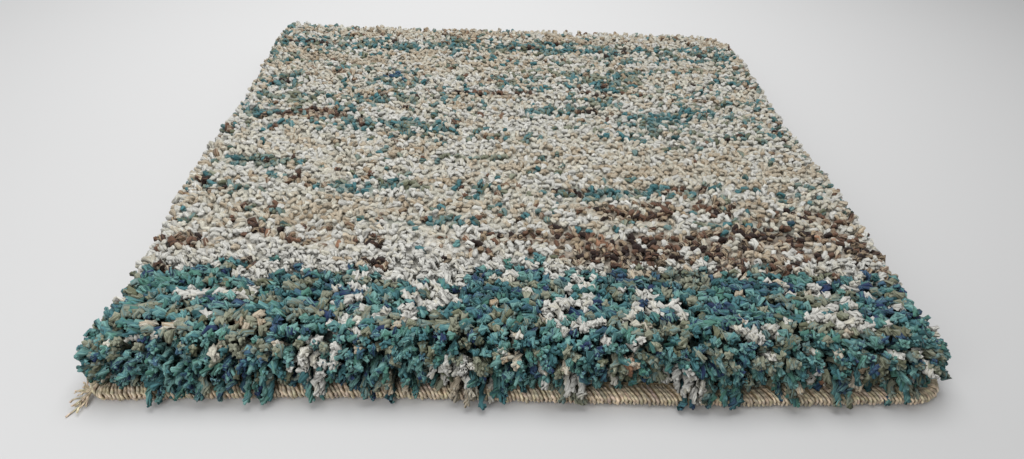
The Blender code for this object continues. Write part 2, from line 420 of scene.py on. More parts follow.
def yarn_odds(place):
    """How common each yarn is at each place: its band's odds, blurred at the ends, plus each streak's."""
    x, y = (place / MM).T
    odds = np.full((len(place), len(YARN_NAMES)), 0.02)
    begin = -1e6
    for band in BANDS:
        begun = smooth(begin - BAND_BLUR, begin + BAND_BLUR, y)
        share = begun * smooth(-BAND_BLUR, BAND_BLUR, band["until"] - y)
        odds += share[:, None] * np.array([band.get(name, 0) for name in YARN_NAMES])
        begin = band["until"]
    for name, middle_x, middle_y, half_length, half_depth, strength in STREAKS:
        far = np.hypot((x - middle_x) / half_length, (y - middle_y) / half_depth)
        for yarn, share in (DUSK if name == "dusk" else {name: 1.0}).items():
            odds[:, YARN_NAMES.index(yarn)] += share * strength * smooth(1.4, 0.5, far)
    return odds


def choose_yarns(place, chance):
    """Which yarn each tuft is of: the one whose log odds plus luck are the highest.

    Part of the luck is drawn once for each run of a row, so that a row keeps its yarn for a
    while, and part of it drifts in long low hills. Some tufts have luck of their own.
    """
    row = np.round((place[:, 1] + 2 * HALF_SIDE) / sizes().tuft_pitch).astype(int)
    rows, cells = row.max() + 1, 128
    luck = chance.gumbel(size=(rows, len(YARN_NAMES), cells))
    shift = chance.uniform(0, 1, (rows, len(YARN_NAMES)))
    step = (place[:, 0, None] + 2 * HALF_SIDE) / (RUN * MM) + shift[row]
    shared = luck[row[:, None], np.arange(len(YARN_NAMES)), step.astype(int) % cells]
    own = chance.gumbel(size=shared.shape)
    stray = chance.uniform(size=len(place)) < STRAY_SHARE
    wide = place * np.array([0.22, 1.0])
    seeds = range(SEED + 20, SEED + 20 + len(YARN_NAMES))
    drift = [hills(wide, 13 * MM, np.random.default_rng(seed)) for seed in seeds]
    odds = np.log(yarn_odds(place)) + 1.1 * np.stack(drift, -1)
    return np.argmax(odds + np.where(stray[:, None], own, 0.6 * shared + 0.5 * own), axis=1)


def dye_table():
    """The light of the dyes of each yarn."""
    return np.array([[linear(DYES[dye]) for dye in dyes] for dyes in YARNS.values()])


def strand_dyes(place, strands, chance):
    """For each strand of each tuft, its own dye and the one that streaks it, as light.

    Both are drawn from those of the tuft's yarn, and made a little paler or darker.
    """
    table = dye_table()
    drawn = chance.integers(0, table.shape[1], (len(place), strands, 2))
    paler = chance.normal(0, 0.04, (len(place), 1, 1, 1)) + chance.normal(0, 0.045, (*drawn.shape, 1))
    return np.clip(table[choose_yarns(place, chance)[:, None, None], drawn] * np.exp(paler), 0, 0.9)


def mean_dye(place):
    """The light of the pile round each place: the mean of its yarns, by how common they are."""
    odds = yarn_odds(place)
    return odds @ dye_table().mean(axis=1) / odds.sum(axis=1, keepdims=True)


def tube_faces(count, rings, sides):
    """The faces of many tubes alike: four-sided along each, one face over its root and a fan to its tip.

    A tube's points are its rings, from the root, and then its tip.
    """
    ring, side = np.meshgrid(np.arange(rings - 1) * sides, np.arange(sides), indexing="ij")
    onward = (side + 1) % sides
    walls = np.stack([ring + side, ring + onward, ring + sides + onward, ring + sides + side], -1)
    last, around = (rings - 1) * sides, np.arange(sides)
    fan = np.stack([last + around, last + (around + 1) % sides, np.full(sides, rings * sides)], -1)
    root = around[None, ::-1]
    first = np.arange(count)[:, None, None] * (rings * sides + 1)
    return [(first + part[None]).reshape(-1, part.shape[-1]) for part in (walls.reshape(-1, 4), root, fan)]


def tube_map(count, rings, sides, lengths):
    """Places on the yarn's own map: u once round the tube, v its length from the root, in metres."""
    ring, side = np.meshgrid(np.arange(rings - 1), np.arange(sides), indexing="ij")
    ring, side = ring.ravel(), side.ravel()
    tubes = np.arange(count)[:, None, None]
    u = np.stack([side, side + 1, side + 1, side], -1) / sides
    step = np.stack([ring, ring, ring + 1, ring + 1], -1)
    walls = np.stack([np.broadcast_to(u, (count, *u.shape)), lengths[tubes, step[None]]], -1)
    around = np.arange(sides)
    u = np.stack([around, around + 1, around + 0.5], -1) / sides
    v = lengths[tubes, np.array([rings - 1, rings - 1, rings])[None, None]]
    fan = np.stack(np.broadcast_arrays(u[None], v), -1)
    u = np.broadcast_to(around[::-1] / sides, (count, 1, sides))
    root = np.stack(np.broadcast_arrays(u, lengths[tubes, np.zeros((1, 1, sides), int)]), -1)
    return np.concatenate([part.reshape(-1, 2) for part in (walls, root, fan)])


def bake_layout(count, rings, sides):
    """A map with a square for each tube: the root's face in a strip at its foot, the walls, then the tip."""
    across = math.ceil(math.sqrt(count))
    cell = np.stack([np.arange(count) % across, np.arange(count) // across], -1)
    ring, side = np.meshgrid(np.arange(rings - 1), np.arange(sides), indexing="ij")
    ring, side = ring.ravel(), side.ravel()
    heights = np.linspace(0.16, 0.86, rings)
    step = np.stack([ring, ring, ring + 1, ring + 1], -1)
    walls = np.stack([np.stack([side, side + 1, side + 1, side], -1) / sides, heights[step]], -1)
    around = np.arange(sides)
    u = np.stack([around, around + 1, around + 0.5], -1) / sides
    fan = np.stack([u, np.broadcast_to([0.86, 0.86, 1.0], (sides, 3))], -1)
    turn = math.tau * (around[::-1] + 0.5) / sides
    root = np.stack([0.5 + 0.5 * np.cos(turn), 0.06 + 0.06 * np.sin(turn)], -1)[None]
    spots = [(cell[:, None, None] + 0.08 + 0.84 * part[None]) / across for part in (walls, root, fan)]
    return np.concatenate([part.reshape(-1, 2) for part in spots])


def add_piece(name, places, faces, finish, node, maps=(), colours=()):
    """Makes a piece in a node's place, from its points and faces, its maps and its points' colours."""
    data = bpy.data.meshes.new(name)
    data.vertices.add(len(places))
    data.vertices.foreach_set("co", np.asarray(places, np.float32).ravel())
    corners = np.concatenate([part.ravel() for part in faces]).astype(np.int32)
    counts = np.concatenate([np.full(len(part), part.shape[1]) for part in faces])
    data.loops.add(len(corners))
    data.loops.foreach_set("vertex_index", corners)
    data.polygons.add(len(counts))
    data.polygons.foreach_set("loop_start", (np.cumsum(counts) - counts).astype(np.int32))
    data.polygons.foreach_set("use_smooth", np.ones(len(counts), bool))
    data.update(calc_edges=True)
    for map_name, spots in dict(maps).items():
        layer = data.uv_layers.new(name=map_name, do_init=False)
        layer.uv.foreach_set("vector", np.asarray(spots, np.float32).ravel())
    for colour_name, dye in dict(colours).items():
        layer = data.attributes.new(colour_name, "FLOAT_COLOR", "POINT")
        opaque = np.pad(dye, ((0, 0), (0, 1)), constant_values=1)
        layer.data.foreach_set("color", opaque.astype(np.float32).ravel())
    data.materials.append(finish)
    piece = bpy.data.objects.new(name, data)
    bpy.context.scene.collection.objects.link(piece)
    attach(piece, "root")
    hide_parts(node)
    return piece


def lengths_along(middle):
    """How far along its line each point lies, from the line's first point."""
    steps = np.linalg.norm(np.diff(middle, axis=-2), axis=-1)
    return np.concatenate([np.zeros((*steps.shape[:-1], 1)), np.cumsum(steps, axis=-1)], axis=-1)


def add_tubes(name, middle, side, radius, turn, sides, dyes, finish, node):
    """Makes a piece of many tubes, each with rings round its middle line and a blunt tip.

    A ring's points are middle + radius * (cos of the turn * side + sin of it * up). The dyes are
    arrays of one colour for each point of each middle line, by name.
    """
    count, rings = middle.shape[:2]
    ahead = unit(np.gradient(middle, axis=1))
    side = unit(side - (side * ahead).sum(-1, keepdims=True) * ahead)
    up = np.cross(ahead, side)
    angle = turn[..., None] + math.tau * np.arange(sides) / sides
    spoke = np.cos(angle)[..., None] * side[..., None, :] + np.sin(angle)[..., None] * up[..., None, :]
    points = (middle[..., None, :] + radius[..., None, None] * spoke).reshape(count, -1, 3)
    tip = middle[:, -1] + 0.6 * radius[:, -1:] * ahead[:, -1]
    points = np.concatenate([points, tip[:, None]], axis=1)

    colours = {}
    for key, dye in dyes.items():
        round_each = np.repeat(dye, sides, axis=1)
        colours[key] = np.concatenate([round_each, dye[:, -1:]], axis=1).reshape(-1, 3)
    length = lengths_along(middle)
    apart = 0.05 * (np.arange(count) % 997)[:, None]  # so that no two tubes near each other are alike
    length = np.concatenate([length, length[:, -1:] + radius[:, -1:]], axis=1) + apart
    maps = {"fibre": tube_map(count, rings, sides, length), "OFBake": bake_layout(count, rings, sides)}
    faces = tube_faces(count, rings, sides)
    return add_piece(name, points.reshape(-1, 3), faces, finish, node, maps, colours)


def arched_lines(root, rise, tip, way, reach, stations):
    """Middle lines of tufts that arch over the edge.

    Each is a Bezier curve from its root, straight up at first, to its tip, along its way at last.
    """
    t = np.linspace(0, 1, stations)[None, :, None]
    up = root + rise[:, None] * np.array([0, 0, 1])
    before = tip - reach[:, None] * way
    weights = ((1 - t) ** 3, 3 * (1 - t) ** 2 * t, 3 * (1 - t) * t**2, t**3)
    return sum(weight * part[:, None] for weight, part in zip(weights, (root, up, before, tip)))


def hooked_lines(place, top, azimuth, rise, radius, bend, stations):
    """Middle lines of tufts that curl over at their tips.

    Each goes straight up for its rise and then round an arc, whose angle is the length past the
    rise over the radius. The arc's crown is at the top height, and the points lie closer
    together towards the tip.
    """
    length = (rise + radius * bend)[:, None] * (1 - (1 - np.linspace(0, 1, stations)) ** 1.6)
    angle = np.maximum(length - rise[:, None], 0) / radius[:, None]
    over = radius[:, None] * (1 - np.cos(angle))
    height = top[:, None] - radius[:, None] * (1 - np.sin(angle)) - np.maximum(rise[:, None] - length, 0)
    flat = place[:, None] + over[..., None] * azimuth[:, None]
    return np.concatenate([flat, height[..., None]], axis=2)


def grow_pile(name, tufts, sides, chance):
    """The strands of each tuft, twisted round its middle line and opening towards their blunt tips.

    A strand's own middle is line + apart * (cos of the twist * side + sin of it * up).
    """
    line, dyes = tufts["line"], tufts["dyes"]
    count, stations, strands = len(line), line.shape[1], dyes.shape[1]
    share, length = np.linspace(0, 1, stations), lengths_along(line)
    side = np.cross([0.0, 0.0, 1.0], np.pad(tufts["azimuth"], ((0, 0), (0, 1))))[:, None]
    ahead = unit(np.gradient(line, axis=1))
    up = np.cross(ahead, side)
    crimp = chance.uniform(0, math.tau, (count, 1)) + length * math.tau / (6.5 * MM)
    crimp_size = (tufts["crimp"][:, None] * smooth(0, 0.5, share))[..., None]
    line = line + crimp_size * (np.cos(crimp)[..., None] * side + np.sin(crimp)[..., None] * up)

    twist = chance.uniform(0, math.tau, (count, 1)) + length * math.tau / tufts["twist"][:, None]
    start = math.tau * np.arange(strands) / strands + chance.normal(0, 0.25, (count, strands))
    twist = twist[:, None] + start[..., None]
    bloom = tufts["bloom"][:, None, None] * smooth(0.5, 1, share)
    bloom = 1 + bloom * chance.uniform(0.3, 1.7, (count, strands, 1))
    apart = tufts["apart"][:, None, None] * bloom * chance.uniform(0.8, 1.2, (count, strands, stations))
    spoke = np.cos(twist)[..., None] * side[:, None] + np.sin(twist)[..., None] * up[:, None]
    middle = line[:, None] + apart[..., None] * spoke
    shorter = chance.uniform(-0.6, 0.3, (count, strands, 1)) * MM * smooth(0.7, 1, share)
    middle = middle + shorter[..., None] * ahead[:, None]

    radius = tufts["radius"][:, None, None] * chance.uniform(0.88, 1.12, (count, strands, stations))
    radius = radius * np.interp(share, [0, 0.75, 1], [0.9, 1.05, 0.8])
    middle[..., 2] = np.maximum(middle[..., 2], radius + 0.1 * MM)
    blotch = np.exp(chance.normal(0, 0.04, (count, strands, stations, 1)))
    tubes = count * strands
    dyes = {
        key: (dyes[:, :, number, None] * blotch).reshape(tubes, stations, 3)
        for number, key in enumerate(("dye", "streak_dye"))
    }
    side = np.broadcast_to(side[:, None], middle.shape).reshape(tubes, stations, 3)
    middle = middle.reshape(tubes, stations, 3)
    radius, twist = (part.reshape(tubes, stations) for part in (radius, twist))
    add_tubes(name, middle, side, radius, twist, sides, dyes, pile_finish(), "pile_cloth")


def field_tufts(chance):
    """The tufts of the field: one on each point of a staggered grid, each curled over in its own way."""
    pitch = sizes().tuft_pitch
    steps = int(2 * HALF_SIDE / pitch) + 2
    column_number, row = np.meshgrid(np.arange(steps), np.arange(steps))
    place = np.stack([(column_number + 0.5 * (row % 2)) * pitch, row * pitch], -1).reshape(-1, 2) - HALF_SIDE
    place = place + chance.uniform(-0.3, 0.3, place.shape) * pitch
    place = place[inside(place) > 10 * MM]
    count, depth = len(place), inside(place)

    turn = chance.uniform(0, math.tau, count)
    outward = unit(place * smooth(0.75, 1.0, np.abs(place) / HALF_SIDE) + 1e-9)
    pull = 1.2 * smooth(24 * MM, 10 * MM, depth)[:, None] * outward
    front = smooth(*FRONT, place[:, 1])
    pull[:, 1] -= 0.15 + 0.8 * front
    azimuth = unit(np.stack([1.6 * np.cos(turn), np.sin(turn)], -1) + pull)

    radius = chance.uniform(1.3, 2.1, count) * (1 + 0.8 * front) * MM
    bend = np.radians(chance.uniform(95, 150, count) + 5 * front)
    rise = (chance.uniform(2.6, 3.4, count) + 5.0 * front) * MM
    top = pile_height(place) - 1.2 * MM + np.abs(chance.normal(0, 0.35, count)) * (1 + front) * MM
    thick = chance.uniform(0.94, 1.12, count) * (1 + 0.28 * front)
    return {
        "line": hooked_lines(place - 0.9 * radius[:, None] * azimuth, top, azimuth, rise, radius, bend, 5),
        "azimuth": azimuth,
        "crimp": chance.uniform(0.1, 0.4, count) * MM,
        "twist": chance.uniform(7, 10, count) * MM,
        "bloom": chance.uniform(0.0, 0.25, count) + 0.15 * front,
        "radius": sizes().strand_radius * thick,
        "apart": (0.62 - 0.14 * front) * sizes().strand_radius * thick,
        "dyes": strand_dyes(place, 2, chance),
    }


def rim_tufts(rows, strands, stations, chance):
    """The tufts of the outermost rows, which arch over the edge, their tips in rings from the binding up."""
    hangs = rows is HANGING_ROWS
    thickness = sizes().hanging_radius if hangs else 1.25 * sizes().strand_radius
    steep_spread = 52 if hangs else 26  # degrees
    parts = []
    for number, row in enumerate(rows):
        count = round(RIM_LENGTH / sizes().rim_pitch * (1.2 if hangs else 1))
        station = np.arange(count) + 0.5 * (number % 2) + chance.uniform(-0.32, 0.32, count)
        station = station * RIM_LENGTH / count
        root, way = rim(station, -row["inset"] * MM)
        hang = hanging(rim(station)[0])
        out = row["out"] + row["hang"] * hang * chance.uniform(0.7, 1.1, count) + chance.normal(0, 0.7, count)
        out = out - row["set_back"] * BARE_DEPTH * bare(rim(station)[0]) * (1 - hang)
        out = out - SIDES_BACK * smooth(-140 * MM, -125 * MM, root[:, 1])
        height = row["height"] - row["sink"] * hang + chance.normal(0, 0.8, count)
        target = rim(station + chance.normal(0, 2.0 * MM, count), out * MM)[0]
        tip = np.concatenate([target, np.maximum(height, 2.6)[:, None] * MM], axis=1)
        steep = np.radians(np.clip(row["steep"] + chance.normal(0, steep_spread, count), -85, 85))
        swing = chance.normal(0, 0.85, count)
        cos, sin = np.cos(swing), np.sin(swing)
        azimuth = np.stack([way[:, 0] * cos - way[:, 1] * sin, way[:, 0] * sin + way[:, 1] * cos], -1)
        last = np.concatenate([np.cos(steep)[:, None] * azimuth, np.sin(steep)[:, None]], axis=1)
        base = np.concatenate([root, np.full((count, 1), 4.5 * MM)], axis=1)
        rise = (0.62 * row["height"] * MM + 3.5 * MM) * chance.uniform(0.85, 1.15, count)
        down_the_face = PILE_HIGH.z - 3 * MM - tip[:, 2]
        thick = chance.uniform(0.9, 1.1, count) * thickness
        parts.append(
            {
                "line": arched_lines(base, rise, tip, last, chance.uniform(4.0, 6.0, count) * MM, stations),
                "azimuth": azimuth,
                "crimp": chance.uniform(0.3, 0.8, count) * MM,
                "twist": chance.uniform(6.0, 9.0, count) * MM,
                "bloom": chance.uniform(0.0, 0.3, count),
                "radius": thick,
                "apart": 0.52 * thick,
                "dyes": strand_dyes(rim(station, down_the_face)[0], strands, chance),
            }
        )
    return {key: np.concatenate([part[key] for part in parts]) for key in parts[0]}


def chosen(tufts, keep):
    """The tufts for which keep holds."""
    return {key: value[keep] for key, value in tufts.items()}


def split(tufts):
    """The same tufts with four finer strands in place of two, each further from the tuft's middle line.

    Each strand has one of the four dyes of the tuft, and is streaked with the next.
    """
    dyes = tufts["dyes"].reshape(len(tufts["dyes"]), 4, 3)
    streaked = np.stack([dyes, np.roll(dyes, 1, axis=1)], axis=2)
    return {**tufts, "dyes": streaked, "radius": 0.8 * tufts["radius"], "apart": 1.5 * tufts["apart"]}


class Number:
    """One number in a shader: sums, products and powers of it add the Math node that works them out."""

    def __init__(self, finish, socket):
        self.finish, self.socket = finish, socket

    def maths(self, operation, *values):
        made = self.finish.node("Math", {"operation": operation}, dict(enumerate(values)))
        return Number(self.finish, made.outputs[0])

    def __add__(self, other):
        return self.maths("ADD", self, other)

    def __sub__(self, other):
        return self.maths("SUBTRACT", self, other)

    def __rsub__(self, other):
        return self.maths("SUBTRACT", other, self)

    def __mul__(self, other):
        return self.maths("MULTIPLY", self, other)

    def sine(self):
        return self.maths("SINE", self)

    def size(self):
        return self.maths("ABSOLUTE", self)


class Finish:
    """A material and the ways to add nodes to it."""

    def __init__(self, name, even):
        self.material = bpy.data.materials.new(name)
        self.material.use_nodes = True
        self.tree = self.material.node_tree
        self.shader = self.tree.nodes["Principled BSDF"]
        for socket, value in even.items():
            self.shader.inputs[socket].default_value = value

    def give(self, socket, value):
        """Links a node's output to a socket, or sets the socket's own value."""
        if isinstance(value, Number):
            value = value.socket
        if isinstance(value, bpy.types.NodeSocket):
            self.tree.links.new(value, socket)
        else:
            socket.default_value = value

    def node(self, kind, settings=(), inputs=()):
        """Adds a node of this kind, with its settings first and then the values or links of its sockets."""
        made = self.tree.nodes.new("ShaderNode" + kind)
        for key, value in dict(settings).items():
            setattr(made, key, value)
        for key, value in dict(inputs).items():
            self.give(made.inputs[key], value)
        return made

    def number(self, kind, settings=(), inputs=(), output=0):
        return Number(self, self.node(kind, settings, inputs).outputs[output])

    def dye(self, name):
        return self.node("Attribute", {"attribute_name": name}).outputs["Color"]

    def parts(self, vector):
        """The three numbers of a vector."""
        made = self.node("SeparateXYZ", inputs={0: vector})
        return [Number(self, output) for output in made.outputs]

    def mottle(self, x, y, detail):
        """Noise over two numbers, from 0 to 1."""
        spot = self.node("CombineXYZ", inputs={0: x, 1: y}).outputs[0]
        return self.number("TexNoise", inputs={"Vector": spot, "Scale": 1.0, "Detail": detail})

    def scaled(self, colour, number):
        """A colour made darker or paler by a number."""
        return self.node("VectorMath", {"operation": "SCALE"}, {0: colour, "Scale": number}).outputs[0]

    def mixed(self, share, first, second):
        """The first colour where the share is 0, the second where it is 1."""
        return self.node("Mix", {"data_type": "RGBA"}, {0: share, 6: first, 7: second}).outputs[2]

    def coloured(self, colour):
        self.give(self.shader.inputs["Base Color"], colour)

    def bumped(self, height, strength, distance, lift=0.0):
        """Bumps the surface. The lift turns its way out upwards, as light comes through loose fibres."""
        way = self.node("NewGeometry").outputs["Normal"]
        raised = self.node("VectorMath", {"operation": "ADD"}, {0: way, 1: (0, 0, lift)}).outputs[0]
        way = self.node("VectorMath", {"operation": "NORMALIZE"}, {0: raised}).outputs[0]
        bump = {"Strength": strength, "Distance": distance, "Height": height, "Normal": way}
        self.give(self.shader.inputs["Normal"], self.node("Bump", inputs=bump).outputs[0])


def pile_finish():
    """The dyed pile yarn: locks of a second dye wind along each strand, between furrows and fine fibres."""
    known = bpy.data.materials.get("pile_yarn_twisted")
    if known:
        return known
    even = {"Roughness": 0.9, "Sheen Weight": 0.2, "Sheen Roughness": 0.5, "Specular IOR Level": 0.15}
    look = Finish("pile_yarn_twisted", even)
    round_way, along, _ = look.parts(look.node("UVMap", {"uv_map": "fibre"}).outputs[0])
    slant = round_way * 3 + along * 260
    furrow = (slant * math.pi).sine().size()
    locks = look.mottle(slant * 3.4, along * 190, 0.0)
    fibres = look.mottle(slant * 5.5, along * 360, 1.0)
    streak = look.number("Clamp", inputs={0: (locks - 0.45) * 9, "Max": 0.85})
    colour = look.mixed(streak, look.dye("dye"), look.dye("streak_dye"))
    # Painted shade: the colour is a little darker down in the twist's furrows than on its ridges.
    look.coloured(look.scaled(colour, (furrow * 0.16 + 0.9) * (fibres * 1.1 + 0.44)))
    look.bumped(furrow * 0.4 + fibres * 0.6, 0.65, 0.35 * MM, 1.0)
    return look.material


class RUG_OT_pile(Operator):
    """Grow the field of the pile, in pieces from front to back"""

    bl_idname = "rug.pile"
    bl_label = "Grow the pile"

    def execute(self, context):
        chance = np.random.default_rng(SEED + 1)
        tufts = field_tufts(chance)
        front = tufts["line"][:, 0, 1] < FRONT[0]
        grow_pile("pile_front", split(chosen(tufts, front)), 3, chance)
        tufts = chosen(tufts, ~front)
        parts, depth = 3, tufts["line"][:, 0, 1]
        limits = np.quantile(depth, np.linspace(0, 1, parts + 1)[1:-1])
        part = np.searchsorted(limits, depth)
        for number in range(parts):
            grow_pile(f"pile_field_{number + 1}", chosen(tufts, part == number), 4, chance)
        return {"FINISHED"}


class RUG_OT_rim_pile(Operator):
    """Grow the outer rows of the pile, which arch over the edge, and the loose strands that hang from it"""

    bl_idname = "rug.rim_pile"
    bl_label = "Grow the pile's rim"

    def execute(self, context):
        chance = np.random.default_rng(SEED + 2)
        for name, rows, stations in (("rim_pile", UPRIGHT_ROWS, 6), ("rim_locks", HANGING_ROWS, 8)):
            tufts = rim_tufts(rows, 2, stations, chance)
            front = tufts["line"][:, 0, 1] < -HALF_SIDE + FRONT_RIM
            grow_pile(f"{name}_front", split(chosen(tufts, front)), 3, chance)
            grow_pile(f"{name}_sides", chosen(tufts, ~front), 4, chance)
        return {"FINISHED"}


# The edge of the bed in section, from its upper surface down to the ground: how far outside the
# outline and the height, in mm
BED_EDGE = (
    {"share": 1.0, "out": -11.5, "height": 19.0},
    {"share": 1.0, "out": -9.0, "height": 17.0},
    {"share": 1.0, "out": -7.2, "height": 13.5},
    {"share": 1.0, "out": -7.0, "height": 9.5},
    {"share": 1.0, "out": -7.6, "height": 6.0},
    {"share": 1.0, "out": -8.6, "height": 3.3},
)

# The ground in section, from the middle of its upper face to the middle of the underside: the
# share of the way out from the middle, how far outside the outline and the height, in mm
GROUND_SECTION = (
    {"share": 0.3, "out": -1.6, "height": 3.1},
    {"share": 0.9, "out": -1.6, "height": 3.1},
    {"share": 1.0, "out": -1.6, "height": 3.1},
    {"share": 1.0, "out": -1.3, "height": 2.8},
    {"share": 1.0, "out": -1.3, "height": 1.7},
    {"share": 1.0, "out": -1.6, "height": 1.4},
    {"share": 1.0, "out": -7.5, "height": 1.4},
    {"share": 1.0, "out": -7.7, "height": 0.2},
    {"share": 1.0, "out": -8.0, "height": 0.0},
    {"share": 0.9, "out": -8.0, "height": 0.0},
    {"share": 0.3, "out": -8.0, "height": 0.0},
)


def slab(section, stations):
    """Points, end points and faces of a closed slab, from the middle of its top to that of its underside.

    Each ring is share * (outline + out * way), at its height. A fan closes either end.
    """
    place, way = rim(np.arange(stations) * RIM_LENGTH / stations)
    share, out, height = (column(section, key)[:, None, None] for key in ("share", "out", "height"))
    flat = (place + way * out * MM) * share
    points = np.concatenate([flat, np.broadcast_to(height * MM, (*flat.shape[:2], 1))], axis=2)
    ends = np.array([[0, 0, section[0]["height"]], [0, 0, section[-1]["height"]]]) * MM
    rows = len(section)
    row, station = np.meshgrid(np.arange(rows - 1) * stations, np.arange(stations), indexing="ij")
    onward = (station + 1) % stations
    walls = np.stack([row + station, row + stations + station, row + stations + onward, row + onward], -1)
    around, last = np.arange(stations), (rows - 1) * stations
    following = (around + 1) % stations
    top = np.stack([around, following, np.full(stations, rows * stations)], -1)
    under = np.stack([last + following, last + around, np.full(stations, rows * stations + 1)], -1)
    return points, ends, [walls.reshape(-1, 4), top, under]


def bed_finish():
    """The dense mass of yarn between the tufts, darker and paler by turns: painted shade in the low places
    between its lumps, painted light on them.
    """
    look = Finish("pile_bed", {"Roughness": 0.95, "Specular IOR Level": 0.1})
    place = look.node("TexCoord").outputs["Object"]
    tufts = look.number("TexNoise", inputs={"Vector": place, "Scale": 520.0, "Detail": 3.0})
    # Painted shade and light: the colour follows the lumps' height, darkest where they are low.
    look.coloured(look.scaled(look.dye("dye"), tufts * 2.2 - 0.1))
    look.bumped(tufts, 0.9, 1.4 * MM)
    return look.material


def ground_finish():
    """The ground: pale warps and wefts woven one over one, with painted shade where the weave is low."""
    even = {"Roughness": 0.93, "Sheen Weight": 0.1, "Specular IOR Level": 0.15}
    look = Finish("ground_weave", even)
    place = look.node("TexCoord").outputs["Object"]
    x, y, _ = look.parts(place)
    pitch = 1.9 * MM
    over = ((x * (math.pi / pitch)).sine() * (y * (math.pi / pitch)).sine()) * 0.5 + 0.5
    warp, weft = ((way * (math.tau / pitch)).sine().size() for way in (x, y))
    grain = look.number("TexNoise", inputs={"Vector": place, "Scale": 900.0, "Detail": 3.0})
    height = (warp * over + weft * (1 - over)) * 0.7 + grain * 0.3
    jute = look.node("CombineXYZ", inputs=dict(enumerate(linear((0.74, 0.66, 0.53))))).outputs[0]
    # Painted shade: the jute is darker where the weave's height is low, between and under the crossing
    # threads, and mottled by the grain.
    look.coloured(look.scaled(jute, height * 0.6 + 0.6))
    look.bumped(height, 0.7, 0.4 * MM)
    return look.material


class RUG_OT_ground(Operator):
    """Lay the ground cloth, and the dense bed of yarn that stands on it"""

    bl_idname = "rug.ground"
    bl_label = "Lay the ground"

    def execute(self, context):
        points, ends, faces = slab(GROUND_SECTION, 320)
        places = np.concatenate([points.reshape(-1, 3), ends])
        add_piece("pile_ground", places, faces, ground_finish(), "pile_cloth")

        level = {"out": -14, "height": sizes().bed_height / MM}
        top = [{"share": share, **level} for share in np.linspace(0.03, 1, 22)]
        points, ends, faces = slab([*top, *BED_EDGE], 256)
        lumps = hills(points[..., :2], 9 * MM, np.random.default_rng(SEED + 3))
        points[:, :, 2] += np.where(points[:, :, 2] > 15 * MM, 0.8 * MM * lumps, 0)
        places = np.concatenate([points.reshape(-1, 3), ends])
        places[-1, 2] = points[-1, 0, 2]
        front = smooth(FRONT[0], -118 * MM, places[:, 1])
        places[:, 2] -= 6.0 * MM * front * smooth(6 * MM, 19 * MM, places[:, 2])
        # Painted shade: towards the front band the bed's colour falls from 1.05 to 0.35 times the mean dye,
        # for the deep gaps between the long tufts.
        dye = {"dye": (1.05 - 0.7 * front)[:, None] * mean_dye(places[:, :2])}
        add_piece("pile_bed", places, faces, bed_finish(), "pile_cloth", colours=dye)
        return {"FINISHED"}


# A stitch in section, from the inner end of its top lap round the edge to the inner end below:
# how far outside the edge its middle line lies, its height, and how far along the edge, in mm
STITCH_SECTION = (
    {"out": -6.9, "height": 3.75, "along": -3.4},
    {"out": -2.6, "height": 3.95, "along": -1.2},
    {"out": -1.0, "height": 3.75, "along": -0.4},
    {"out": -0.55, "height": 2.95, "along": 0.0},
    {"out": -0.5, "height": 1.9, "along": 0.1},
    {"out": -0.9, "height": 0.95, "along": 0.3},
    {"out": -2.2, "height": 0.64, "along": 0.9},
    {"out": -6.9, "height": 0.64, "along": 2.6},
)

# How far each loose end of the binding's yarn reaches from the front left corner, in mm
LOOSE_ENDS = ((-1.9, -6.2, -1.2), (-5.4, 0.4, 0.6))


def binding_finish():
    """The edge's tan yarn: two strands twisted, with painted shade in the line between them, and fine fibres.
    """
    even = {"Roughness": 0.84, "Sheen Weight": 0.2, "Sheen Roughness": 0.45, "Specular IOR Level": 0.25}
    look = Finish("binding_yarn_wrapped", even)
    round_way, along, _ = look.parts(look.node("UVMap", {"uv_map": "fibre"}).outputs[0])
    strand = ((round_way + along * 420) * math.tau).sine() * 0.5 + 0.5
    fibres = look.mottle(round_way * 6 + along * 2400, along * 500, 2.0)
    height = strand * 0.6 + fibres * 0.4
    # Painted shade: the tan is darker where the height is low, most in the groove between the two strands.
    look.coloured(look.scaled(look.dye("dye"), height * 0.75 + 0.55))
    look.bumped(height, 0.7, 0.3 * MM)
    return look.material


